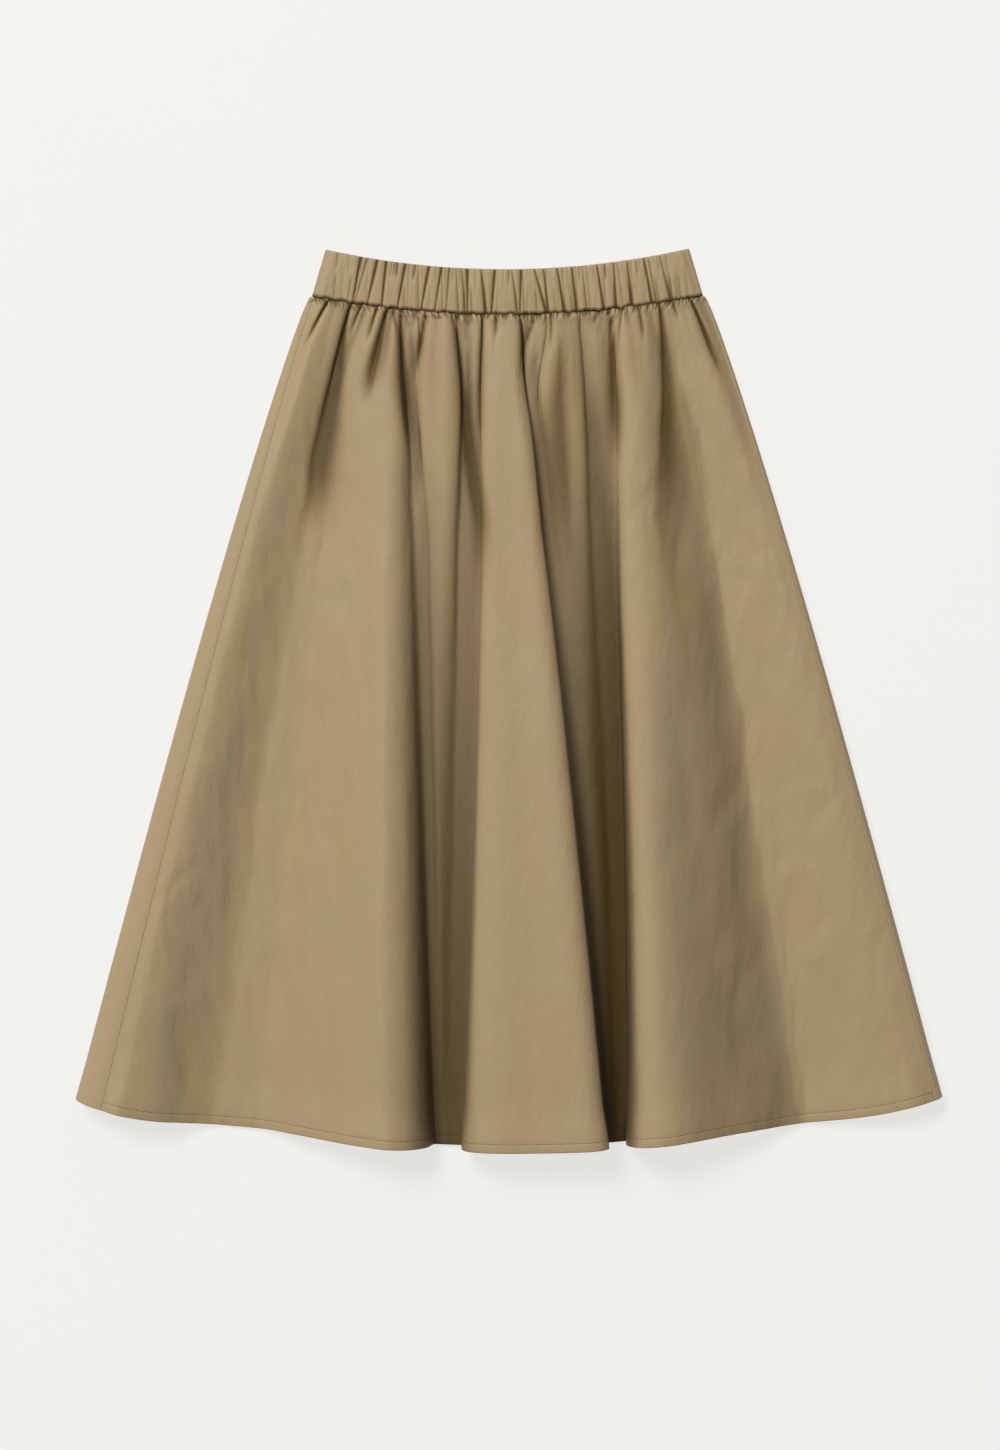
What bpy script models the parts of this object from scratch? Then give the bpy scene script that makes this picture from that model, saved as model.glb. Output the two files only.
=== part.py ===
"""A flared leather skirt with a gathered elastic waist, lying flat on its back.

The skirt fans out from a point above the waist. A place on it is given by how far it lies across
(-1 at the left edge, 0 at the centre, 1 at the right edge), how far down (0 at the waist seam, 1 at
the hem) and how high it stands. +X is to the right, +Y is towards the waist and +Z is up.
"""

import math
from collections import namedtuple

import bmesh
import bpy

# Driving dimensions, in metres.
WAIST_WIDTH = 0.320  # the flat band, edge to edge along its top
SIDE_LENGTH = 0.777  # waist edge to hem along the side, band included
BAND_HEIGHT = 0.0405  # at the centre
BAND_END_EXTRA = 0.003  # the band is this much deeper at its ends, where nothing pulls on it
WAIST_DIP = 0.005  # the waist edge is this much nearer the fan's point at the centre than at its ends
HEM_DIP = 0.011  # the hem is this much nearer the fan's point in its middle than near its ends
LEATHER = 0.0010  # wall of the panels
BAND_THICKNESS = 0.0026  # leather, elastic and leather
SEAM_GAP = 0.0003  # between pieces that are sewn together or lie on each other

# The fan, in degrees either side of its middle.
FLARE = 16.35
HIP_EASE = 0.62  # how far the sides swell over the hips
HIP_PLACE = 0.46  # this power of the way down puts the fullest point a quarter of the way down

WAIST_RADIUS = 0.5 * WAIST_WIDTH / math.sin(math.radians(FLARE))
SIDE_HEM_RADIUS = WAIST_RADIUS + SIDE_LENGTH
FAN_Y = 0.5 * (SIDE_HEM_RADIUS - HEM_DIP + WAIST_RADIUS * math.cos(math.radians(FLARE)))

# Heights of the middle of the leather.
BACK_LEVEL = 0.5 * LEATHER
FRONT_LEVEL = BACK_LEVEL + LEATHER + SEAM_GAP
SEAM_LIFT = 0.0018  # how far the front rises to meet its half of the band
SEAM_LIFT_REACH = 0.08  # over this share of the way down

# Each flute runs from the waist to the hem. left, right and rise are given at the waist seam, a
# quarter of the way down and at the hem: places across, and millimetres. A run is how far across
# a side takes to come up, and a tuck is how far its foot goes back underneath, as a share of the rise.
Flute = namedtuple("Flute", "left right rise left_run right_run left_tuck right_tuck")
FRONT_FLUTES = (
    Flute((-0.75, -0.66, -0.57), (-0.60, -0.373, -0.189), (3.5, 17.0, 52), 0.42, 0.075, 0.00, 0.05),
    Flute((-0.48, -0.325, -0.178), (-0.29, -0.18, -0.14), (3.0, 6.0, 0), 0.04, 0.05, 0.00, 0.00),
    Flute((-0.14, -0.10, -0.112), (0.05, 0.147, 0.231), (3.5, 18.0, 48), 0.03, 0.018, 0.10, 0.05),
    Flute((0.19, 0.20, 0.252), (0.38, 0.32, 0.268), (3.0, 6.0, 0), 0.05, 0.05, 0.00, 0.00),
    Flute((0.60, 0.424, 0.284), (0.80, 0.74, 0.66), (3.5, 18.0, 53), 0.035, 0.33, 0.08, 0.00),
)
BACK_FLUTES = (
    Flute((-0.70, -0.56, -0.46), (-0.58, -0.45, -0.28), (0.5, 5.0, 15), 0.06, 0.06, 0.00, 0.00),
    Flute((0.56, 0.47, 0.32), (0.68, 0.58, 0.43), (0.5, 5.0, 14), 0.04, 0.05, 0.00, 0.00),
)
RUN_AT_SEAM = 0.35  # at the waist the sides are steeper: this share of their runs at the hem
FOOT_ROUNDING = 0.02  # how far across a flute's foot takes to turn up from a valley
FRONT_VALLEY_KNOTS = 1  # corners of the cage along the bottom of each valley
BACK_VALLEY_KNOTS = 5

# The cloth rolls over at each side. seam is where the side seam lies across, crest is the inner end
# of the roll's top, foot is where it comes down on the back, and rise is its height in millimetres.
# rounding is how far in its outer shoulder lies, as a share of its height.
Roll = namedtuple("Roll", "seam crest foot rise rounding")
LEFT_ROLL = Roll((-0.985, -0.952, -0.935), (-0.92, -0.90, -0.86), (-0.83, -0.775, -0.70), (0.5, 13, 38), 0.35)
RIGHT_ROLL = Roll((0.985, 0.982, 0.980), (0.92, 0.91, 0.90), (0.85, 0.79, 0.70), (0.5, 9, 23), 0.2)
OUTER_DROP = 0.08  # how far a roll's outer shoulder lies below its crest, as a share of its height

# The ruched band: two sets of waves that beat, so the ruches are uneven. Each has its half waves
# across the band, its share of the height, where it starts and how far it slants.
RUCHE_HEIGHT = 0.0007
RUCHES = ((31.0, 0.6, 0.0, 0.6), (47.0, 0.4, 1.1, -0.8))

# How finely the pieces are divided.
POINTS_PER_KNOT = 2
PANEL_ROWS = 11
ROW_SPACING = 1.25  # above 1 the rows lie closer near the waist
BAND_COLUMNS = 66
BAND_ROWS = 2

LEATHER_COLOUR = (0.37, 0.29, 0.17, 1.0)
BAND_COLOUR = (0.36, 0.28, 0.17, 1.0)


def clear_scene():
    for thing in list(bpy.data.objects):
        bpy.data.objects.remove(thing, do_unlink=True)


def leather_material(name, colour):
    material = bpy.data.materials.new(name)
    material.use_nodes = True
    shader = material.node_tree.nodes["Principled BSDF"]
    shader.inputs["Base Color"].default_value = colour
    shader.inputs["Roughness"].default_value = 0.55
    shader.inputs["Metallic"].default_value = 0.0
    return material


def smooth_step(low, high, value):
    share = min(1.0, max(0.0, (value - low) / (high - low)))
    return share * share * (3.0 - 2.0 * share)


def at_depth(values, down):
    """The value at a place down the skirt, on a smooth curve through the seam, quarter and hem values."""
    seam, quarter, hem = values
    share = math.sqrt(down)
    return (
        seam * (2.0 * share - 1.0) * (share - 1.0)
        + quarter * 4.0 * share * (1.0 - share)
        + hem * share * (2.0 * share - 1.0)
    )


def edge_angle(down):
    """Half the fan's angle at a place down the skirt."""
    swell = math.sin(math.pi * down**HIP_PLACE) if down > 0.0 else 0.0
    return math.radians(FLARE + HIP_EASE * swell)


def waist_radius(across):
    return WAIST_RADIUS - WAIST_DIP * (1.0 - across**2)


def seam_radius(across):
    return waist_radius(across) + BAND_HEIGHT + BAND_END_EXTRA * across**2


def hem_radius(across):
    return SIDE_HEM_RADIUS - HEM_DIP * (1.0 - smooth_step(0.45, 0.90, abs(across)))


def on_fan(across, radius, angle, height):
    """The point in space of a place on the fan."""
    turn = across * angle
    return (radius * math.sin(turn), FAN_Y - radius * math.cos(turn), height)


def on_panel(across, down, height):
    top = seam_radius(across) + SEAM_GAP
    radius = top + (hem_radius(across) - top) * down
    return on_fan(across, radius, edge_angle(down), height)


def half_width(down):
    """From the middle of the skirt round to its edge, along the fan."""
    radius = seam_radius(1.0) + (SIDE_HEM_RADIUS - seam_radius(1.0)) * down
    return radius * edge_angle(down)


def front_level(down):
    """Where the front lies on the back, lifted near the waist to meet its half of the band."""
    return FRONT_LEVEL + SEAM_LIFT * (1.0 - smooth_step(0.0, SEAM_LIFT_REACH, down))


def flute_knots(flute, down, level):
    """The corners of the cage that a flute's section is drawn in: foot, side and shoulder, twice."""
    left = at_depth(flute.left, down)
    right = at_depth(flute.right, down)
    rise = 0.001 * at_depth(flute.rise, down)
    left_tuck = flute.left_tuck * rise / half_width(down)
    right_tuck = flute.right_tuck * rise / half_width(down)
    spread = RUN_AT_SEAM + (1.0 - RUN_AT_SEAM) * down**0.7
    run_scale = min(spread, (right - left) / (1.2 * (flute.left_run + flute.right_run)))
    left_run = flute.left_run * run_scale
    right_run = flute.right_run * run_scale
    return [
        (left + left_tuck, level),
        (left + 0.45 * left_run - left_tuck, level + 0.5 * rise),
        (left + left_run, level + rise),
        (right - right_run, level + rise),
        (right - 0.45 * right_run + right_tuck, level + 0.5 * rise),
        (right - right_tuck, level),
    ]


def valley_knots(left, right, level, count):
    """Corners on the resting level between two flutes, the outer two close to their feet."""
    if count == 1:
        return [(0.5 * (left + right), level)]
    inset = min(FOOT_ROUNDING, (right - left) / (count + 1))
    step = (right - left - 2.0 * inset) / (count - 1)
    return [(left + inset + step * index, level) for index in range(count)]


def chain_of_flutes(flutes, start, end, down, level, valley_count):
    """The cage of a row of flutes with their valleys, from one place across to another."""
    knots = []
    edge = start
    for flute in flutes:
        corners = flute_knots(flute, down, level)
        knots += valley_knots(edge, corners[0][0], level, valley_count) + corners
        edge = corners[-1][0]
    return knots + valley_knots(edge, end, level, valley_count)


def roll_cages(roll, down):
    """A roll's cage, cut at its side seam into the front's part and the back's part."""
    side = math.copysign(1.0, roll.seam[0])
    seam, crest, foot = (abs(at_depth(place, down)) for place in (roll.seam, roll.crest, roll.foot))
    level = front_level(down)
    top = level + 0.001 * at_depth(roll.rise, down)
    height = top - BACK_LEVEL
    rounding = roll.rounding * height / half_width(down)
    shoulder = (1.0 - rounding, top - OUTER_DROP * height)
    edge = (1.0 + 0.15 * rounding, BACK_LEVEL + 0.5 * height)
    under = (1.0 - 0.2 * rounding, BACK_LEVEL)
    flat = (1.0 - rounding - FOOT_ROUNDING, BACK_LEVEL)
    cut = (seam, top + (shoulder[1] - top) * (seam - crest) / (shoulder[0] - crest))
    front = [(side * across, height) for across, height in (cut, (crest, top), (foot, level))]
    back = [(side * across, height) for across, height in (cut, shoulder, edge, under, flat)]
    return front, back


def front_knots(down):
    """The cage of the front from the left side seam to the right one."""
    left = roll_cages(LEFT_ROLL, down)[0]
    right = roll_cages(RIGHT_ROLL, down)[0]
    between = chain_of_flutes(
        FRONT_FLUTES, left[-1][0], right[-1][0], down, front_level(down), FRONT_VALLEY_KNOTS
    )
    return left + between + right[::-1]


def back_knots(down):
    """The cage of the back from the left side seam, round under the skirt, to the right one."""
    left = roll_cages(LEFT_ROLL, down)[1]
    right = roll_cages(RIGHT_ROLL, down)[1]
    between = chain_of_flutes(
        BACK_FLUTES, left[-1][0], right[-1][0], down, BACK_LEVEL, BACK_VALLEY_KNOTS
    )
    return left + between + right[::-1]


def spline_in_cage(knots, per_knot):
    """A smooth curve drawn inside a cage of corners, starting and ending on its end corners."""
    cage = [knots[0], *knots, knots[-1]]
    points = []
    for before, corner, after in zip(cage, cage[1:], cage[2:]):
        for step in range(per_knot):
            share = step / per_knot
            first, second, third = 0.5 * (1.0 - share) ** 2, 0.5 + share * (1.0 - share), 0.5 * share**2
            points.append(
                tuple(first * a + second * b + third * c for a, b, c in zip(before, corner, after))
            )
    points.append(knots[-1])
    return points


def flat_grid(columns, rows, place):
    """A bmesh grid whose points are put in place by a function of column and row."""
    sheet = bmesh.new()
    bmesh.ops.create_grid(sheet, x_segments=columns, y_segments=rows, size=1.0)
    for point in sheet.verts:
        column = round(0.5 * (point.co.x + 1.0) * columns)
        row = round(0.5 * (1.0 - point.co.y) * rows)
        point.co = place(column, row)
    return sheet


def add_piece(name, sheet, material, collection):
    mesh = bpy.data.meshes.new(name)
    sheet.to_mesh(mesh)
    sheet.free()
    mesh.materials.append(material)
    mesh.shade_smooth()
    piece = bpy.data.objects.new(name, mesh)
    collection.objects.link(piece)
    return piece


def shorten_ends(points, gap):
    """Draws a section's two ends back along itself, to leave the gap of a seam."""
    for end, inner in ((0, 1), (-1, -2)):
        share = gap / math.dist(points[end], points[inner])
        points[end] = tuple(a + (b - a) * share for a, b in zip(points[end], points[inner]))
    return points


def add_panel(name, knots_at, material, collection):
    """A front or back panel, from a function that gives its section's cage at a place down the skirt."""
    sections = []
    for row in range(PANEL_ROWS + 1):
        down = (row / PANEL_ROWS) ** ROW_SPACING
        section = spline_in_cage(knots_at(down), POINTS_PER_KNOT)
        points = [on_panel(across, down, height) for across, height in section]
        sections.append(shorten_ends(points, 0.5 * SEAM_GAP))
    sheet = flat_grid(len(sections[0]) - 1, PANEL_ROWS, lambda column, row: sections[row][column])
    piece = add_piece(name, sheet, material, collection)
    wall = piece.modifiers.new("Leather", "SOLIDIFY")
    wall.thickness = LEATHER
    wall.offset = 0.0


def ruche(across, down):
    """How high the band's upper face stands between its ruches."""
    height = 0.0
    for waves, share, start, slant in RUCHES:
        height += share * (0.5 + 0.5 * math.sin(waves * math.pi * across + start + slant * down))
    return RUCHE_HEIGHT * height


def add_band(name, level, material, collection):
    """Half of the waistband: a casing with a flat underside and a ruched upper face."""

    def place(column, row):
        across = 2.0 * column / BAND_COLUMNS - 1.0
        down = row / BAND_ROWS
        radius = waist_radius(across) + (seam_radius(across) - waist_radius(across)) * down
        return on_fan(across, radius, edge_angle(0.0), level)

    slab = flat_grid(BAND_COLUMNS, BAND_ROWS, place)
    bmesh.ops.solidify(slab, geom=slab.faces[:], thickness=-BAND_THICKNESS)
    bmesh.ops.recalc_face_normals(slab, faces=slab.faces[:])
    for point in slab.verts:
        if point.co.z > level + 0.5 * BAND_THICKNESS:
            across = math.atan2(point.co.x, FAN_Y - point.co.y) / edge_angle(0.0)
            radius = math.hypot(point.co.x, FAN_Y - point.co.y)
            point.co.z += ruche(across, (radius - waist_radius(across)) / BAND_HEIGHT)
    add_piece(name, slab, material, collection)


def build():
    clear_scene()
    skirt = bpy.data.collections.new("leather_skirt")
    bpy.context.scene.collection.children.link(skirt)
    outside = leather_material("leather", LEATHER_COLOUR)
    band_leather = leather_material("band_leather", BAND_COLOUR)
    add_panel("front_panel", front_knots, outside, skirt)
    add_panel("back_panel", back_knots, outside, skirt)
    add_band("waistband_back", 0.0, band_leather, skirt)
    add_band("waistband_front", BAND_THICKNESS + RUCHE_HEIGHT + SEAM_GAP, band_leather, skirt)


build()
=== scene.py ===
# %% [markdown]
# # A gathered leather skirt, lying flat
# This lesson makes a flared midi skirt of thin, soft leather. It lies on its back, seen from
# straight above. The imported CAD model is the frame: it says how big everything is and where it
# lies. Each CAD solid is plain, so a finer piece with its gathers, creases, seams and stitches
# stands in for it.

import math
import random
from collections import namedtuple

import bmesh
import bpy
import numpy as np
from mathutils import Matrix, Vector, noise


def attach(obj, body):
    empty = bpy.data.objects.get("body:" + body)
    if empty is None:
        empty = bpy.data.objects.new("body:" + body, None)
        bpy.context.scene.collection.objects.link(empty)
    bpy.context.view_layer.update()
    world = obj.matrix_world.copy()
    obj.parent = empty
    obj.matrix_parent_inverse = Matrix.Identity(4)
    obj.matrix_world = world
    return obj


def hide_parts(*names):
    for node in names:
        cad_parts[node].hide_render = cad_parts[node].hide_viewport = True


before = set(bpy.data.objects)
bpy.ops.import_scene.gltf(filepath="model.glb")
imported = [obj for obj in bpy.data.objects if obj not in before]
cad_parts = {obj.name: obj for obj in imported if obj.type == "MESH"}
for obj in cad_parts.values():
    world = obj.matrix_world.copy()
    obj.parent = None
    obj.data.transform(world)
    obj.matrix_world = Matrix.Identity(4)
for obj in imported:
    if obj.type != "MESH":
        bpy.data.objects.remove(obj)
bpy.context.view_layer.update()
MM = 0.001

# %% [markdown]
# The skirt is a piece of a fan. Three numbers place a point on it: across (-1 at the left edge, 1
# at the right), down (0 at the waist seam, 1 at the hem) and a height. Working in those, and
# turning them into X, Y and Z last of all, keeps every fold running from the waist to the hem as
# real ones do. The sizes are the CAD model's own.

# %% The skirt's sizes
WAIST_WIDTH = 0.320
SIDE_LENGTH = 0.777
BAND_HEIGHT = 0.0405
BAND_END_EXTRA = 0.003
WAIST_DIP = 0.005
HEM_DIP = 0.011
LEATHER = 0.0010
SEAM_GAP = 0.0003
FLARE = 16.35
HIP_EASE = 0.62
HIP_PLACE = 0.46

WAIST_RADIUS = 0.5 * WAIST_WIDTH / math.sin(math.radians(FLARE))
SIDE_HEM_RADIUS = WAIST_RADIUS + SIDE_LENGTH
FAN_Y = 0.5 * (SIDE_HEM_RADIUS - HEM_DIP + WAIST_RADIUS * math.cos(math.radians(FLARE)))
PANEL_LENGTH = SIDE_LENGTH - BAND_HEIGHT - BAND_END_EXTRA


def smooth_step(low, high, value):
    share = min(1.0, max(0.0, (value - low) / (high - low)))
    return share * share * (3.0 - 2.0 * share)


def fall(low, high, value):
    """1 below low, 0 above high and smooth in between."""
    return 1.0 - smooth_step(low, high, value)


def at_depth(values, down):
    """A smooth curve through values at the waist seam, a quarter of the way down and at the hem."""
    seam, quarter, hem = values
    share = math.sqrt(down)
    return (
        seam * (2.0 * share - 1.0) * (share - 1.0)
        + quarter * 4.0 * share * (1.0 - share)
        + hem * share * (2.0 * share - 1.0)
    )


def edge_angle(down):
    swell = math.sin(math.pi * down**HIP_PLACE) if down > 0.0 else 0.0
    return math.radians(FLARE + HIP_EASE * swell)


def waist_radius(across):
    return WAIST_RADIUS - WAIST_DIP * (1.0 - across**2)


def seam_radius(across):
    return waist_radius(across) + BAND_HEIGHT + BAND_END_EXTRA * across**2


def hem_radius(across):
    return SIDE_HEM_RADIUS - HEM_DIP * fall(0.45, 0.90, abs(across))


def half_width(down):
    """From the middle of the skirt round to its edge, in metres along the fan."""
    radius = seam_radius(1.0) + (SIDE_HEM_RADIUS - seam_radius(1.0)) * down
    return radius * edge_angle(down)


def on_fan(across, radius, angle, height):
    turn = across * angle
    return Vector((radius * math.sin(turn), FAN_Y - radius * math.cos(turn), height))


def on_panel(across, down, height):
    top = seam_radius(across) + SEAM_GAP
    radius = top + (hem_radius(across) - top) * down
    return on_fan(across, radius, edge_angle(down), height)


print(f"the panels are {PANEL_LENGTH:.3f} m long and the fan's point lies at Y = {FAN_Y:.3f} m")

# %% [markdown]
# Spread out, a flared skirt has more leather at the hem than it has room for, so it stands up in
# flutes. Each flute is given by where its two sides lie, how high it stands, how far its sides
# take to come up (its runs) and how far its feet go back underneath (its tucks). These are the
# CAD's own tables, and the CAD's way of turning them into a section: the corners of a cage, with a
# smooth B-spline drawn inside.

# %% The flutes and the rolled sides
BACK_LEVEL = 0.5 * LEATHER
FRONT_LEVEL = BACK_LEVEL + LEATHER + SEAM_GAP
SEAM_LIFT = 0.0018
SEAM_LIFT_REACH = 0.08

Flute = namedtuple("Flute", "left right rise left_run right_run left_tuck right_tuck")
FRONT_FLUTES = (
    Flute((-0.75, -0.66, -0.57), (-0.60, -0.373, -0.189), (3.5, 17.0, 52), 0.42, 0.075, 0.00, 0.05),
    Flute((-0.48, -0.325, -0.178), (-0.29, -0.18, -0.14), (3.0, 6.0, 0), 0.04, 0.05, 0.00, 0.00),
    Flute((-0.14, -0.10, -0.112), (0.05, 0.147, 0.231), (3.5, 18.0, 48), 0.03, 0.018, 0.10, 0.05),
    Flute((0.19, 0.20, 0.252), (0.38, 0.32, 0.268), (3.0, 6.0, 0), 0.05, 0.05, 0.00, 0.00),
    Flute((0.60, 0.424, 0.284), (0.80, 0.74, 0.66), (3.5, 18.0, 53), 0.035, 0.33, 0.08, 0.00),
)
BACK_FLUTES = (
    Flute((-0.70, -0.56, -0.46), (-0.58, -0.45, -0.28), (0.5, 5.0, 15), 0.06, 0.06, 0.00, 0.00),
    Flute((0.56, 0.47, 0.32), (0.68, 0.58, 0.43), (0.5, 5.0, 14), 0.04, 0.05, 0.00, 0.00),
)
RUN_AT_SEAM = 0.35
FOOT_ROUNDING = 0.02
FRONT_VALLEY_KNOTS = 1
BACK_VALLEY_KNOTS = 5
Roll = namedtuple("Roll", "seam crest foot rise rounding")
LEFT_ROLL = Roll(
    (-0.985, -0.952, -0.935), (-0.92, -0.90, -0.86), (-0.83, -0.775, -0.70), (0.5, 13, 38), 0.35
)
RIGHT_ROLL = Roll((0.985, 0.982, 0.980), (0.92, 0.91, 0.90), (0.85, 0.79, 0.70), (0.5, 9, 23), 0.2)
OUTER_DROP = 0.08


def front_level(down):
    return FRONT_LEVEL + SEAM_LIFT * fall(0.0, SEAM_LIFT_REACH, down)


def flute_side(foot, inwards, run, tuck, rise, level):
    """Three corners up one side of a flute, from its foot to its shoulder."""
    return [
        (foot + inwards * tuck, level),
        (foot + inwards * (0.45 * run - tuck), level + 0.5 * rise),
        (foot + inwards * run, level + rise),
    ]


def flute_knots(flute, down, level):
    left, right = at_depth(flute.left, down), at_depth(flute.right, down)
    rise = MM * at_depth(flute.rise, down)
    lean = rise / half_width(down)
    spread = RUN_AT_SEAM + (1.0 - RUN_AT_SEAM) * down**0.7
    scale = min(spread, (right - left) / (1.2 * (flute.left_run + flute.right_run)))
    rising = flute_side(left, 1.0, scale * flute.left_run, lean * flute.left_tuck, rise, level)
    falling = flute_side(right, -1.0, scale * flute.right_run, lean * flute.right_tuck, rise, level)
    return rising + falling[::-1]


def valley_knots(left, right, level, count):
    if count == 1:
        return [(0.5 * (left + right), level)]
    inset = min(FOOT_ROUNDING, (right - left) / (count + 1))
    step = (right - left - 2.0 * inset) / (count - 1)
    return [(left + inset + step * index, level) for index in range(count)]


def chain_of_flutes(flutes, start, end, down, level, valley_count):
    knots = []
    edge = start
    for flute in flutes:
        corners = flute_knots(flute, down, level)
        knots += valley_knots(edge, corners[0][0], level, valley_count) + corners
        edge = corners[-1][0]
    return knots + valley_knots(edge, end, level, valley_count)


def roll_cages(roll, down):
    """A rolled side's cage, cut at its side seam into the front's part and the back's part."""
    side = math.copysign(1.0, roll.seam[0])
    seam, crest, foot = (abs(at_depth(place, down)) for place in (roll.seam, roll.crest, roll.foot))
    level = front_level(down)
    top = level + MM * at_depth(roll.rise, down)
    height = top - BACK_LEVEL
    rounding = roll.rounding * height / half_width(down)
    shoulder = (1.0 - rounding, top - OUTER_DROP * height)
    edge = (1.0 + 0.15 * rounding, BACK_LEVEL + 0.5 * height)
    under = (1.0 - 0.2 * rounding, BACK_LEVEL)
    flat = (1.0 - rounding - FOOT_ROUNDING, BACK_LEVEL)
    cut = (seam, top + (shoulder[1] - top) * (seam - crest) / (shoulder[0] - crest))
    front = [(side * across, height) for across, height in (cut, (crest, top), (foot, level))]
    back = [(side * across, height) for across, height in (cut, shoulder, edge, under, flat)]
    return front, back


def panel_knots(part, flutes, down, level, valley_count):
    """A panel's cage: its part of the left roll, its flutes and its part of the right roll."""
    left, right = roll_cages(LEFT_ROLL, down)[part], roll_cages(RIGHT_ROLL, down)[part]
    between = chain_of_flutes(flutes, left[-1][0], right[-1][0], down, level, valley_count)
    return left + between + right[::-1]


def front_knots(down):
    return panel_knots(0, FRONT_FLUTES, down, front_level(down), FRONT_VALLEY_KNOTS)


def back_knots(down):
    return panel_knots(1, BACK_FLUTES, down, BACK_LEVEL, BACK_VALLEY_KNOTS)


print("cage corners:", len(front_knots(0.5)), "in front and", len(back_knots(0.5)), "behind")

# %% [markdown]
# The CAD draws each stretch of the spline with two points. Here each stretch gets as many as its
# longest section needs, the same number in every row, so the columns of the mesh run along the
# folds and the folds stay crisp.

# %% A fine section with columns that follow the folds
COLUMN_SPACING = 3.5 * MM
FEWEST_POINTS = 3


def spline_point(before, corner, after, share):
    first, second, third = 0.5 * (1.0 - share) ** 2, 0.5 + share * (1.0 - share), 0.5 * share**2
    return tuple(first * a + second * b + third * c for a, b, c in zip(before, corner, after))


def stretches(knots):
    cage = [knots[0], *knots, knots[-1]]
    return list(zip(cage, cage[1:], cage[2:]))


def stretch_length(stretch, down):
    wide = half_width(down)
    ends = [spline_point(*stretch, share) for share in (0.0, 0.5, 1.0)]
    places = [(across * wide, height) for across, height in ends]
    return math.dist(places[0], places[1]) + math.dist(places[1], places[2])


def points_per_stretch(knots_at):
    counts = []
    for down in (0.0, 0.25, 0.5, 0.75, 1.0):
        lengths = [stretch_length(stretch, down) for stretch in stretches(knots_at(down))]
        needed = [max(FEWEST_POINTS, math.ceil(length / COLUMN_SPACING)) for length in lengths]
        counts = [max(pair) for pair in zip(counts, needed)] if counts else needed
    return counts


def section(knots, counts):
    points = []
    for stretch, count in zip(stretches(knots), counts):
        points += [spline_point(*stretch, step / count) for step in range(count)]
    return points + [knots[-1]]


front_counts = points_per_stretch(front_knots)
back_counts = points_per_stretch(back_knots)
print("columns:", sum(front_counts), "on the front and", sum(back_counts), "on the back")

# %% [markdown]
# Where the panels are gathered into the waistband, small pillows puff out between sharp creases.
# The puff is the same all along the seam, and each crease cuts into it: steeply on one side,
# exp(-distance / width), because a fold hangs over it there, and with a bell curve on the other,
# where it opens into a hollow. A crease has its place at the seam and a quarter of the way down,
# its reach, its depth, its width in millimetres, and how far its hollow has spread a tenth of the
# way down, to the right or, when negative, to the left. The last rows are the faint, broad dips
# between the sharp ones, and the long dip that follows the right flute down.

# %% Gathers under the waistband
Gather = namedtuple("Gather", "seam quarter reach depth width spread")
FRONT_GATHERS = tuple(
    Gather(*numbers)
    for numbers in (
        (-0.9, -1.05, 0.08, 0.9, 1.6, -3.0), (-0.79, -0.775, 0.36, 1.0, 1.6, 8.5),
        (-0.735, -0.85, 0.045, 0.6, 1.3, 1.0), (-0.655, -0.7, 0.055, 0.7, 1.8, 1.0),
        (-0.605, -0.59, 0.15, 1.0, 2.4, -5.0), (-0.538, -0.365, 0.22, 1.0, 1.6, 4.0),
        (-0.46, -0.46, 0.03, 0.5, 1.2, 0.0), (-0.41, -0.4, 0.1, 0.85, 2.4, -2.0),
        (-0.335, -0.33, 0.035, 0.5, 1.2, 0.0), (-0.26, -0.12, 0.42, 1.0, 1.6, 2.5),
        (-0.19, -0.25, 0.04, 0.5, 1.2, 0.0), (-0.123, -0.09, 0.22, 0.9, 1.5, -2.0),
        (-0.055, -0.05, 0.035, 0.8, 1.2, 0.0), (0.06, 0.23, 0.13, 0.9, 1.6, 2.0),
        (0.14, -0.15, 0.055, 0.8, 1.6, 0.0), (0.214, 0.2, 0.06, 0.8, 1.4, 1.0),
        (0.268, 0.245, 0.46, 0.64, 1.6, -7.5), (0.35, 0.32, 0.28, 0.32, 2.2, 6.0),
        (0.433, 0.43, 0.04, 0.6, 1.4, 0.0), (0.512, 0.44, 0.24, 0.95, 1.9, -4.0),
        (0.59, 0.58, 0.03, 0.45, 1.2, 0.0), (0.66, 0.55, 0.055, 0.65, 1.6, 1.0),
        (0.765, 0.552, 0.34, 0.7, 1.5, 8.0), (0.83, 0.83, 0.03, 0.5, 1.2, 0.0),
        (0.92, 0.96, 0.13, 1.0, 1.8, 3.0), (-0.7, -0.8, 0.2, 0.3, 4.5, -4.0),
        (-0.575, -0.56, 0.13, 0.4, 4.0, 3.0), (-0.5, -0.44, 0.18, 0.3, 4.0, -4.0),
        (-0.36, -0.3, 0.22, 0.3, 4.0, 3.0), (0.09, 0.16, 0.18, 0.35, 3.5, 3.0),
        (0.31, 0.27, 0.2, 0.3, 4.0, 3.0), (0.47, 0.4, 0.2, 0.35, 4.0, -3.0),
        (0.6, 0.52, 0.18, 0.3, 5.0, 4.0), (0.71, 0.66, 0.12, 0.3, 5.0, 4.0),
        (0.775, 0.565, 0.85, 0.31, 1.6, 5.0),
    )
)
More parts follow.
